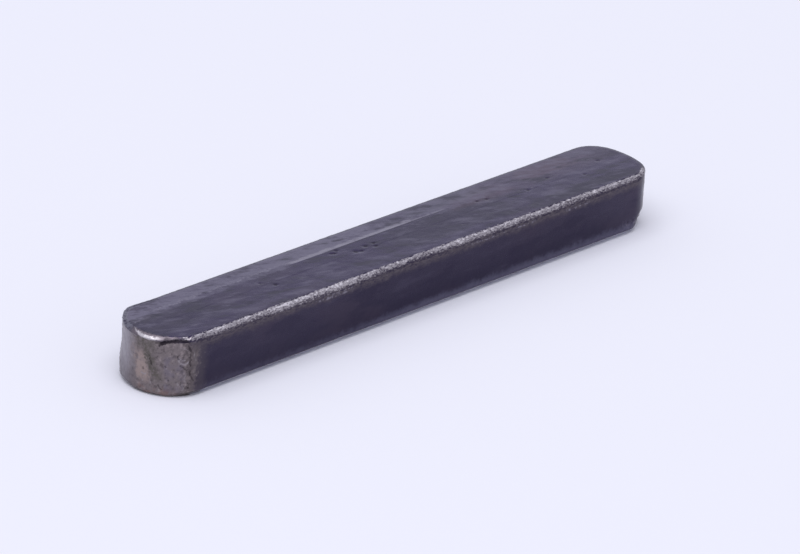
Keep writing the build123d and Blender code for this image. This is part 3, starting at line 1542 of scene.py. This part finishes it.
class Coat:
    """Finishes laid one over the other, each through its own mask."""

    def __init__(self, sketch: NodeSketch, ground: Finish) -> None:
        """Start with one finish all over.

        Args:
            sketch: what lays out the nodes.
            ground: the finish under all the others.
        """
        self.sketch = sketch
        self.colour: Value = (*ground.colour, 1.0)
        self.roughness: Value = ground.roughness
        self.metal: Value = ground.metal

    def lay(self, finish: Finish, *masks: Value) -> None:
        """Lay one finish over what is there.

        Args:
            finish: what to lay.
            masks: where it shows, each from 0 to 1; they are multiplied.
        """
        mask = self.sketch.times(*masks)
        node = self.sketch.add("ShaderNodeMix")
        node.data_type = "RGBA"
        self.sketch.join(mask, node.inputs[0])
        self.sketch.join(self.colour, node.inputs[6])
        self.sketch.join((*finish.colour, 1.0), node.inputs[7])
        self.colour = node.outputs[2]
        self.roughness = self.sketch.mix(self.roughness, finish.roughness, mask)
        self.metal = self.sketch.mix(self.metal, finish.metal, mask)

    def cloud(self, clouds: tuple[Cloud, ...], where: Value) -> None:
        """Lay clouds over one part of the surface.

        Args:
            clouds: what to lay, in order.
            where: the part, as a mask from 0 to 1.
        """
        for cloud in clouds:
            shape = self.sketch.step(cloud.grit, cloud.start, cloud.full)
            self.lay(cloud.finish, where, shape, cloud.share)


@dataclass
class KeySteel:
    """The finish of the whole key.

    Places are in millimetres: along X, Y or Z, down the profile from the upper arris, or
    round the left end from its tip. Each share is how strongly a finish shows.
    """

    name: str = SLOT
    # Down the profile: the top face, what lies below the upper break, and the wall.
    top_face: Span = Span(0.05, -0.05)
    below_break: Span = Span(0.70, 0.85)
    wall: Stretch = Stretch(0.75, 7.7, 0.1)
    # The wall's painted shade, darker from high to low, and its paler oxide towards both ends.
    wall_shade: Span = Span(5.8, 1.8)
    wall_left: Span = Span(-8.0, -26.0)
    wall_right: Span = Span(30.0, 41.0)
    # The mottled far left corner of the top, along X and across Y.
    far_corner: tuple[Span, Span] = (Span(-40.0, -42.5), Span(0.3, 2.0))
    # How far along the top the lines beside the pale strip run.
    line_run: Stretch = Stretch(-14.0, 5.0, 3.0)
    thin_run: Stretch = Stretch(-4.0, 11.0, 3.5)
    shade_run: Stretch = Stretch(-9.0, 11.0, 2.0)
    loose_run: Stretch = Stretch(-38.0, -18.0, 3.0)
    # The foot: its pale strip up the wall, the painted light on its break down the profile, the tip
    # that has less of it, and the right corner painted paler as a painted reflection of the floor,
    # along X and up Z.
    foot_height: Span = Span(1.75, 0.55)
    painted_foot_light: tuple[Span, Span] = (Span(8.22, 8.40), Span(8.85, 8.70))
    foot_tip: Stretch = Stretch(-0.8, 6.2, 0.8)
    foot_corner: tuple[Span, Span] = (Span(36.0, 40.0), Span(2.6, 1.2))
    # Where the left end starts along X, for its edge and for its groove, where the near
    # side starts across Y, and where the steel is bare round the left end and at the right.
    left_tip: Span = Span(-39.0, -40.0)
    left_half: Span = Span(-38.0, -39.0)
    near_side: Span = Span(-3.2, -4.2)
    bare_left: Span = Span(11.4, 10.0)
    bare_right: Span = Span(41.9, 43.1)
    # The fine relief: the noises in it, its strength and its height, and how much the
    # roughness swings.
    relief: tuple[tuple[Grit, float], ...] = (
        (Grit.DRAWN, 0.4),
        (Grit.SPECKS, 0.25),
        (Grit.CRUMBS, 1.2),
    )
    relief_strength: float = 0.5
    relief_height: float = 0.02
    rough_swing: float = 0.04
    n: NodeSketch = field(init=False)
    coat: Coat = field(init=False)

    def build(self) -> bpy.types.Material:
        """Lay all the finishes, from the oxide to the marks' dirt and shine.

        Returns:
            The material.
        """
        material = bpy.data.materials.new(self.name)
        material.use_nodes = True
        self.n = NodeSketch(material.node_tree)
        self.coat = Coat(self.n, OXIDE)
        self.dress_skin()
        self.dress_strip()
        self.dress_foot()
        self.dress_left_end()
        self.dress_right_end()
        self.dress_edges()
        self.dress_marks()
        self.finish()
        return material

    def dress_skin(self) -> None:
        """Lay the blue-black oxide of the top and the sides, its soft clouds, and a painted shade low
        on the sides.
        """
        n, coat = self.n, self.coat
        on_top = n.span(n.profile, self.top_face)
        on_wall = n.within(n.profile, self.wall)
        coat.lay(OXIDE_TOP, on_top)
        # Painted shade: the sides are painted darker towards the bottom.
        coat.lay(DEEP_OXIDE_AND_SHADE, on_wall, n.span(n.z, self.wall_shade), 0.85)
        coat.lay(OXIDE_BROWN, n.step(Grit.DRIFT, 0.46, 0.66), 0.28)
        coat.cloud(WALL_CLOUDS, on_wall)
        coat.lay(OXIDE_PALE, on_wall, n.span(n.x, self.wall_left), 0.05)
        coat.lay(OXIDE_PALE, on_wall, n.span(n.x, self.wall_right), 0.10)
        for tone in TOP_TONES:
            along = n.within(n.blur(n.x, (Grit.BLOTCHES, 3.0)), tone.along)
            across = n.within(n.blur(n.y, (Grit.PATCHES, 0.5)), tone.across)
            coat.lay(tone.finish, along, across, on_top, tone.share)
        coat.cloud(TOP_CLOUDS, on_top)
        corner_x, corner_y = self.far_corner
        far_corner = n.times(on_top, n.span(n.x, corner_x), n.span(n.y, corner_y))
        coat.cloud(FAR_CORNER_CLOUDS, far_corner)

    def dress_strip(self) -> None:
        """Lay the paler strip along the far side of the top, and the rubbed line beside it."""
        n, coat = self.n, self.coat
        on_top = n.span(n.profile, self.top_face)
        # The strip has a soft border, and a crisp one where the rubbed line runs beside it.
        place = n.blur(n.y, (Grit.PATCHES, 0.22), (Grit.DRAWN, 0.05))
        soft = n.add_up(n.step(place, 2.7, 3.4), n.times(n.step(place, 1.7, 2.3), 0.55))
        soft = n.smaller(soft, 1.0)
        firm = n.blur(n.y, (Grit.DRAWN, 0.06), (Grit.CRUMBS, 0.04))
        crisp = n.step(firm, 2.30, 2.46)
        line_run = n.within(n.blur(n.x, (Grit.BLOTCHES, 1.5)), self.line_run)
        strip = n.times(on_top, n.mix(soft, crisp, line_run))
        # It is palest at the left and fades to the right in two steps.
        share = n.scaled(n.step(n.blur(n.x, (Grit.BLOTCHES, 3.0)), 4.0, -3.0), 0.38, 0.25)
        share = n.scaled(n.step(n.x, 26.0, 18.0), 0.19, share)
        mottle = n.ragged((Grit.HAIRS, 0.40), (Grit.WISPS, 0.45), (Grit.PATCHES, 0.22))
        mottle = n.smaller(n.scaled(mottle, 2.1, 0.98), 1.8)
        coat.lay(OXIDE_PALE, strip, share, n.larger(mottle, 0.1))
        coat.lay(OXIDE_PALE, on_top, n.step(n.y, 4.2, 5.0), 0.13)
        # The rubbed line is broad in the middle and runs on thinner to the right.
        high = n.blur(firm, (Grit.PATCHES, 0.20))
        line = n.times(n.step(firm, 2.36, 2.50), n.step(high, 3.25, 2.75))
        mottle = n.scaled(n.step(Grit.HAIRS, 0.30, 0.62), 0.55, 0.48)
        coat.lay(RUBBED_LINE, line, line_run, on_top, mottle)
        thin = n.times(n.step(firm, 2.36, 2.48), n.step(firm, 2.78, 2.60))
        thin_run = n.within(n.blur(n.x, (Grit.BLOTCHES, 1.0)), self.thin_run)
        coat.lay(RUBBED_LINE, thin, thin_run, on_top, n.step(Grit.PATCHES, 0.36, 0.56), 0.5)
        # A dark line lies beside it, and a looser bright one further left.
        shade = n.within(firm, Stretch(2.20, 2.32, 0.10))
        shade_run = n.within(n.x, self.shade_run)
        coat.lay(DEEP_OXIDE_AND_SHADE, shade, shade_run, on_top, n.step(Grit.PATCHES, 0.34, 0.54), 0.85)
        loose = n.within(n.blur(n.y, (Grit.PATCHES, 0.45)), Stretch(2.95, 3.30, 0.25))
        loose_run = n.within(n.x, self.loose_run)
        coat.lay(RUBBED_LINE, loose, loose_run, on_top, n.step(Grit.CRUMBS, 0.46, 0.62), 0.45)

    def dress_foot(self) -> None:
        """Lay the paler strip along the foot of the sides, the painted reflection on the lower right
        corner, and the painted light on the lower edge.
        """
        n, coat = self.n, self.coat
        # The strip is broader and stronger from the middle to the right.
        place = n.blur(n.z, (Grit.CRUMBS, 0.28), (Grit.PATCHES, 0.30))
        place = n.scaled(n.step(n.x, -12.0, 0.0), -0.25, place)
        foot = n.span(place, self.foot_height)
        share = n.scaled(n.step(n.x, -25.0, 0.0), 0.45, 0.65)
        coat.lay(FOOT_STRIP, foot, share, n.scaled(Grit.CRUMBS, 1.3, 0.25))
        # The lower right corner is painted paler in flecks, a painted reflection of the floor, with
        # dark flecks among them.
        corner_x, corner_z = self.foot_corner
        in_corner = n.times(n.span(n.x, corner_x), n.span(n.z, corner_z), n.step(n.profile, 0.75, 0.9))
        coat.cloud(FOOT_CORNER_SHEEN_FLECKS, in_corner)
        # The lower break is painted pale all round, a painted light as bright as the floor beside it,
        # and less at the left tip.
        on_tip = n.within(n.around, self.foot_tip)
        on_tip = n.times(on_tip, n.span(n.x, self.left_half), 0.72)
        outer, inner = self.painted_foot_light
        foot = n.times(n.span(n.profile, outer), n.span(n.profile, inner))
        coat.lay(FOOT_PAINTED_LIGHT, foot, n.less(1.0, on_tip), 0.95)

    def dress_left_end(self) -> None:
        """Lay the scuffed steel on the left end, with its glaze and a painted reflection on its far
        half.
        """
        n, coat = self.n, self.coat
        around = n.blur(n.around, (Grit.CRUMBS, 0.30), (Grit.PATCHES, 0.35))
        away = n.size(around)
        # The bare steel reaches a little further round the end in its upper half.
        reach = n.scaled(n.step(n.z, 2.5, 5.0), -0.5, n.add_up(away, 0.45))
        below_break = n.span(n.profile, self.below_break)
        rim = n.blur(n.step(reach, 9.6, 7.2), (Grit.CRUMBS, 0.30))
        rim = n.step(n.blur(rim, (Grit.FLECKS, 0.26)), 0.10, 0.95)
        end = n.times(rim, below_break, n.span(away, self.bare_left))
        coat.lay(UNDER_EDGE, n.step(away, 10.8, 8.8), below_break, 0.55)
        coat.lay(END_STEEL, end)
        coat.cloud(LEFT_END_CLOUDS, end)
        # What was pressed in is dark, and what stands out is pale.
        coat.lay(END_PALE, end, n.step(n.depth, 0.05, -0.03), 0.6)
        coat.lay(END_DARK, end, n.step(n.depth, 0.10, 0.17), 0.7)
        # The border to the near side is dark, with pale flecks before it.
        coat.lay(END_DARK, end, n.within(n.around, Stretch(7.4, 10.0, 0.5)), 0.60)
        flank = n.within(n.around, Stretch(6.2, 7.4, 0.5))
        coat.lay(END_PALE, end, flank, n.step(Grit.FLECKS, 0.46, 0.6), 0.35)
        # The far half is smoother and painted lighter as a painted reflection, and darker towards its
        # foot as painted shade.
        smooth = n.times(end, n.step(around, 0.2, -2.2))
        coat.lay(END_SMOOTH, smooth, 0.92)
        coat.lay(END_DARK, n.step(around, 0.6, -1.0), end, n.step(n.z, 4.5, 1.0), 0.42)
        # A peach cast leans across the middle.
        lean = n.scaled(n.z, 0.25, around)
        peach = n.times(
            n.within(lean, Stretch(1.2, 2.3, 0.9)), n.within(n.z, Stretch(2.6, 4.9, 1.5))
        )
        coat.lay(END_PEACH, end, peach, n.step(Grit.PATCHES, 0.20, 0.55), 0.85)
        self.stain_left_end(around, end)
        glaze = n.times(
            n.within(around, Stretch(4.6, 6.2, 0.7)), n.within(n.z, Stretch(1.2, 5.0, 1.0))
        )
        coat.lay(OXIDE_PALE, end, glaze, n.step(Grit.PATCHES, 0.35, 0.6), 0.35)

    def stain_left_end(self, around: Socket, end: Socket) -> None:
        """Lay the olive stain and the rust. The stain runs down the end towards -Y.

        Args:
            around: places round the end, with ragged borders.
            end: where the end's steel is bare.
        """
        n, coat = self.n, self.coat
        slant = n.scaled(n.z, 0.45, around)
        stain = n.within(slant, Stretch(4.0, 4.5, 0.75))
        stain = n.times(stain, n.step(n.z, 1.5, 3.0))
        top_stain = n.times(n.within(around, Stretch(0.2, 2.6, 0.7)), n.step(n.z, 5.4, 6.6))
        stain = n.larger(stain, n.times(top_stain, 0.75))
        coat.lay(OLIVE_STAIN, end, stain, n.step(Grit.CRUMBS, 0.25, 0.6), 0.8)
        rusty = n.step(n.blur(n.z, (Grit.CRUMBS, 0.5)), 1.5, 0.5)
        rusty = n.times(rusty, n.within(around, Stretch(0.8, 5.4, 0.8)))
        coat.lay(RUST, end, rusty, n.step(Grit.PATCHES, 0.42, 0.66), 0.75)

    def dress_right_end(self) -> None:
        """Lay the plain ground steel of the right end."""
        n, coat = self.n, self.coat
        below_break = n.span(n.profile, self.below_break)
        bare = n.span(n.blur(n.x, (Grit.CRUMBS, 0.35), (Grit.PATCHES, 0.30)), self.bare_right)
        bare = n.times(bare, below_break)
        coat.lay(END_SMOOTH, bare, 0.92)
        coat.cloud(RIGHT_END_CLOUDS, bare)

    def dress_edges(self) -> None:
        """Lay the olive cast under the edge and the rubbed bare steel along its break, with painted
        glints.
        """
        n = self.n
        on_wall = n.within(n.profile, self.wall)
        on_left = n.times(n.step(n.around, 7.4, 6.8), n.span(n.x, self.left_tip))
        near = n.span(n.y, self.near_side)
        near_wall = n.times(near, n.less(1.0, on_left))
        self.dress_under_edge(n.times(on_wall, near_wall))
        self.dress_long_edge(near)
        self.dress_left_edge()

    def dress_under_edge(self, where: Socket) -> None:
        """Lay the olive-brown cast under the long edge, with its pale flecks.

        Args:
            where: the near wall, as a mask from 0 to 1.
        """
        n, coat = self.n, self.coat
        depth = n.blur(n.profile, (Grit.PATCHES, 0.35), (Grit.FLAKES, 0.3))
        under = n.step(depth, 2.2, 1.2)
        coat.lay(UNDER_EDGE, under, where, n.step(Grit.FLAKES, 0.28, 0.55), 0.95)
        coat.lay(DULL_EDGE, under, where, n.step(Grit.FLAKES, 0.52, 0.66), 0.75)
        shadow = n.within(depth, Stretch(0.82, 1.0, 0.10))
        coat.lay(DEEP_OXIDE_AND_SHADE, shadow, where, n.step(Grit.PATCHES, 0.4, 0.5), 0.6)
        rise = n.blur(n.profile, (Grit.DRAWN, 0.16))
        for score in UNDER_SCORES:
            line = n.within(rise, Stretch(score.down, score.down + 0.10, 0.10))
            run = n.within(n.x, score.along)
            coat.lay(RUBBED_LINE, line, run, where, n.step(Grit.FLECKS, 0.46, 0.58), 0.6)

    def dress_long_edge(self, near: Socket) -> None:
        """Lay the rubbed metal of the long edge: bare flecks among duller and dark ones, partly
        painted glints and shade.

        Args:
            near: the near side, as a mask from 0 to 1.
        """
        n, coat = self.n, self.coat
        # How far down the break the rubbed band reaches, more or less than it does elsewhere.
        reach = n.times(n.step(n.around, 10.5, 6.5), n.step(n.x, -36.0, -38.0), -0.20)
        for run in EDGE_RUNS:
            reach = n.add_up(reach, n.times(n.within(n.x, run.along), run.reach))
        started = n.larger(n.step(n.around, 5.9, 6.9), n.step(n.x, -39.0, -38.0))
        ended = n.step(n.blur(n.x, (Grit.CRUMBS, 0.6)), 43.6, 42.6)
        where = n.times(near, started, n.step(n.profile, -0.34, -0.18))
        # The rub falls off on both sides of the arris, and the noises break it up into painted glints
        # and darker flecks.
        below = n.larger(n.less(n.less(n.profile, 0.02), reach), 0.0)
        above = n.larger(n.less(0.02, n.profile), 0.0)
        far_below = n.larger(n.less(below, 0.62), 0.0)
        level = n.ragged(
            (Grit.FLAKES, 0.20), (Grit.GRAINS, 0.20), (Grit.CRUMBS, 0.12), (Grit.BLOTCHES, 0.08)
        )
        for depth, loss in ((below, -0.43), (far_below, -0.50), (above, -0.95)):
            level = n.scaled(depth, loss, level)
        level = n.add_up(level, n.times(n.step(ended, 1.0, 0.0), -0.30))
        coat.lay(DULL_EDGE, where, n.step(level, -0.42, -0.30), n.step(n.profile, -0.1, 0.0))
        coat.lay(MID_EDGE, where, n.step(level, -0.25, -0.13))
        coat.lay(BARE_EDGE_AND_GLINT, where, n.step(level, -0.05, 0.10), 0.70)
        # Painted shade: dark nicks painted just above the arris.
        nick_shade = n.within(n.profile, Stretch(-0.30, -0.10, 0.10))
        nick_shade = n.times(nick_shade, n.step(Grit.FLAKES, 0.47, 0.40))
        coat.lay(DEEP_OXIDE_AND_SHADE, nick_shade, near, started, 0.8)

    def dress_left_edge(self) -> None:
        """Lay the bright crescent, the thin lip with its painted highlight, and the dark groove on the
        left end's edge.
        """
        n, coat = self.n, self.coat
        place = n.blur(n.profile, (Grit.CRUMBS, 0.12), (Grit.SPECKS, 0.04))
        on_tip = n.span(n.x, self.left_tip)
        on_left = n.times(n.step(n.around, 6.4, 5.4), on_tip)
        # The rim is mauve on the near side of the tip and blue on the far side.
        rim = n.times(n.step(place, -0.26, -0.10), n.step(place, 0.9, 0.6), on_left)
        coat.lay(MAUVE, rim, n.step(n.around, -2.4, -0.8))
        far_rim = n.times(rim, n.step(n.around, -0.8, -2.4))
        coat.lay(RIM_BLUE, far_rim, n.step(Grit.FLECKS, 0.34, 0.54), 0.9)
        # The crescent bows up towards its ends and thins out there.
        bow, off_line = self.bowed_line(place, 1.7, -0.07, 0.54)
        crescent = n.step(n.scaled(bow, 0.035, off_line), 0.38, 0.10)
        mottle = n.scaled(n.step(Grit.CRUMBS, 0.36, 0.6), 0.30, 0.44)
        run = n.times(n.step(n.around, -2.2, -0.5), n.step(n.around, 4.3, 1.6))
        coat.lay(BARE_EDGE_AND_GLINT, crescent, on_left, run, mottle)
        # The groove starts at a notch and bows down towards the near side, under the lip.
        corner = n.times(n.within(n.around, Stretch(3.5, 6.9, 0.5)), n.span(n.x, self.left_half))
        _, off_line = self.bowed_line(place, 6.0, 0.09, 0.46)
        notch = n.times(n.within(n.around, Stretch(4.0, 4.5, 0.4)), n.step(place, 0.0, 0.2))
        groove = n.step(n.blur(off_line, (Grit.FLECKS, 0.09)), 0.31, 0.16)
        groove = n.larger(groove, n.times(notch, n.step(place, 1.0, 0.8), 0.35))
        coat.lay(DIRT, groove, corner, 0.88)
        # Painted highlight: the thin lip is painted paler along its crest.
        lip = n.within(place, Stretch(-0.06, 0.08, 0.06))
        lip_run = n.times(n.within(n.around, Stretch(6.3, 7.2, 0.5)), on_tip)
        coat.lay(MID_EDGE, lip, lip_run, n.step(Grit.CRUMBS, 0.48, 0.6), 0.7)

    def bowed_line(
        self, place: Socket, middle: float, bow: float, down: float
    ) -> tuple[Socket, Socket]:
        """Draw a line round the left end that bows up or down the profile.

        Args:
            place: how far down the profile each place lies.
            middle: where round the end the line's middle is.
            bow: how strongly it bends down towards its ends.
            down: how far down the profile its middle lies.

        Returns:
            The squared distance from the line's middle, and how far each place is off it.
        """
        n = self.n
        off_middle = n.less(n.around, middle)
        squared = n.times(off_middle, off_middle)
        line = n.scaled(squared, bow, down)
        return squared, n.size(n.less(place, line))

    def dress_marks(self) -> None:
        """Rub the raised marks bright and fill the pits and cracks with dirt."""
        n = self.n
        shine = n.step(n.blur(n.rubbed, (Grit.CRUMBS, 0.35)), 0.3, 0.9)
        self.coat.lay(SHINE, shine, 0.8)
        dirt = n.step(n.blur(n.grime, (Grit.CRUMBS, 0.35)), 0.25, 0.90)
        self.coat.lay(DIRT, dirt, 0.52)

    def finish(self) -> None:
        """Join the coat to the shader, with the fine relief of the surface."""
        n, coat = self.n, self.coat
        shader = n.add("ShaderNodeBsdfPrincipled")
        output = n.add("ShaderNodeOutputMaterial")
        rough = n.blur(coat.roughness, (Grit.CRUMBS, self.rough_swing))
        relief, *others = (n.times(grit, height) for grit, height in self.relief)
        for other in others:
            relief = n.add_up(relief, other)
        bump = n.add("ShaderNodeBump")
        bump.inputs["Strength"].default_value = self.relief_strength
        bump.inputs["Distance"].default_value = self.relief_height * MM
        n.join(relief, bump.inputs["Height"])
        n.join(coat.colour, shader.inputs["Base Color"])
        n.join(coat.metal, shader.inputs["Metallic"])
        n.join(rough, shader.inputs["Roughness"])
        n.join(bump.outputs[0], shader.inputs["Normal"])
        n.join(shader.outputs[0], output.inputs["Surface"])


@dataclass
class Studio:
    """The floor, the light and the camera.

    Lengths are in metres, apart from the lens and the sensor, which are in millimetres.
    The turn, the rise and the roll are in degrees. Off axis is how far the key's middle
    lies from the sensor's middle, and the lamp share is how much of the floor's light
    comes from the lamp.
    """

    floor_size: float = 4.0
    paper: tuple[float, float, float] = (0.845, 0.85, 0.975)
    paper_roughness: float = 0.9
    room: tuple[float, float, float] = (0.98, 0.985, 1.0)
    room_strength: float = 0.56
    backdrop: tuple[float, float, float] = (0.84, 0.85, 0.97)
    lamp_share: float = 0.642
    lamp_direction: tuple[float, float, float] = (-0.26, -0.10, 0.95)
    lamp_distance: float = 2.4
    lamp_size: float = 2.6
    camera_turn: float = -47.415
    camera_rise: float = 23.791
    camera_roll: float = 3.541
    camera_distance: float = 0.81443
    camera_clip: float = 0.01
    aim_height: float = 0.004
    lens: float = 287.1
    sensor: float = 36.0
    off_axis: tuple[float, float] = (-0.459, 0.41625)

    def build(self) -> None:
        """Set up the floor, the world, the lamp and the camera."""
        self.lay_floor()
        self.light_world()
        self.hang_lamp()
        self.place_camera()

    def lay_floor(self) -> None:
        """Lay a plain pale sheet under the key."""
        bpy.ops.object.select_all(action="DESELECT")
        bpy.ops.mesh.primitive_plane_add(size=self.floor_size, location=(0, 0, 0))
        floor = bpy.context.object
        floor.name = "floor"
        material = bpy.data.materials.new("pale_paper")
        material.use_nodes = True
        shader = material.node_tree.nodes["Principled BSDF"]
        shader.inputs["Base Color"].default_value = (*self.paper, 1)
        shader.inputs["Roughness"].default_value = self.paper_roughness
        shader.inputs["Specular IOR Level"].default_value = 0.0
        floor.data.materials.append(material)

    def light_world(self) -> None:
        """Light the room evenly, and show its pale walls to the camera and in the steel."""
        world = bpy.data.worlds.new("pale_room")
        bpy.context.scene.world = world
        world.use_nodes = True
        nodes, links = world.node_tree.nodes, world.node_tree.links
        nodes.clear()
        output = nodes.new("ShaderNodeOutputWorld")
        mix = nodes.new("ShaderNodeMixShader")
        glow = nodes.new("ShaderNodeBackground")
        glow.inputs["Color"].default_value = (*self.room, 1)
        glow.inputs["Strength"].default_value = self.room_strength
        walls = nodes.new("ShaderNodeBackground")
        walls.inputs["Color"].default_value = (*self.backdrop, 1)
        rays = nodes.new("ShaderNodeLightPath")
        seen = rays.outputs["Is Camera Ray"]
        for name in ("Is Glossy Ray", "Is Transmission Ray"):
            either = nodes.new("ShaderNodeMath")
            either.operation = "MAXIMUM"
            links.new(seen, either.inputs[0])
            links.new(rays.outputs[name], either.inputs[1])
            seen = either.outputs[0]
        links.new(seen, mix.inputs["Fac"])
        links.new(glow.outputs[0], mix.inputs[1])
        links.new(walls.outputs[0], mix.inputs[2])
        links.new(mix.outputs[0], output.inputs["Surface"])

    def hang_lamp(self) -> None:
        """Hang one wide soft lamp over the key, in front and to the left."""
        direction = Vector(self.lamp_direction).normalized()
        light = bpy.data.lights.new("softbox", "AREA")
        light.shape = "SQUARE"
        light.size = self.lamp_size
        reach = math.pi**2 * self.lamp_distance**2
        light.energy = self.lamp_share * reach / direction.z
        lamp = bpy.data.objects.new("softbox", light)
        bpy.context.scene.collection.objects.link(lamp)
        lamp.location = direction * self.lamp_distance
        lamp.rotation_euler = direction.to_track_quat("Z", "Y").to_euler()

    def place_camera(self) -> None:
        """Aim a long lens down along the key, with a slight roll."""
        turn, rise = math.radians(self.camera_turn), math.radians(self.camera_rise)
        roll = math.radians(self.camera_roll)
        shift_x, shift_y = (off * self.camera_distance / self.lens for off in self.off_axis)
        aim = Vector((0, 0, self.aim_height))
        level = math.cos(rise)
        back = Vector((math.sin(turn) * level, -math.cos(turn) * level, math.sin(rise)))
        right = Vector((math.cos(turn), math.sin(turn), 0))
        up = back.cross(right)
        across = right * math.cos(roll) + up * math.sin(roll)
        upward = up * math.cos(roll) - right * math.sin(roll)
        place = aim + self.camera_distance * back - shift_x * across - shift_y * upward
        camera = bpy.data.cameras.new("camera")
        camera.sensor_width = self.sensor
        camera.lens = self.lens
        camera.clip_start = self.camera_clip
        holder = bpy.data.objects.new("camera", camera)
        bpy.context.scene.collection.objects.link(holder)
        rotation = Matrix((across, upward, back)).transposed().to_4x4()
        holder.matrix_world = Matrix.Translation(place) @ rotation
        bpy.context.scene.camera = holder
        bpy.context.scene.view_settings.view_transform = "Standard"


def main() -> None:
    """Build the key and its studio."""
    low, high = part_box(NODE)
    body = KeyBody(
        half_length=(high.x - low.x) / 2 / MM,
        half_width=(high.y - low.y) / 2 / MM,
        height=(high.z - low.z) / MM,
    )
    key = body.build()
    log.info("body: %d faces", len(key.data.polygons))
    Wear(body).apply()
    finish = KeySteel().build()
    key.data.materials.append(finish)
    log.info("finish: %s, of %d nodes", finish.name, len(finish.node_tree.nodes))
    bpy.ops.object.select_all(action="DESELECT")
    key.select_set(True)
    bpy.context.view_layer.objects.active = key
    bpy.ops.object.shade_smooth()
    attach(key, BODY)
    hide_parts(NODE)
    Studio().build()
    log.info("studio: floor, lamp and camera")


if __name__ == "__main__":
    main()
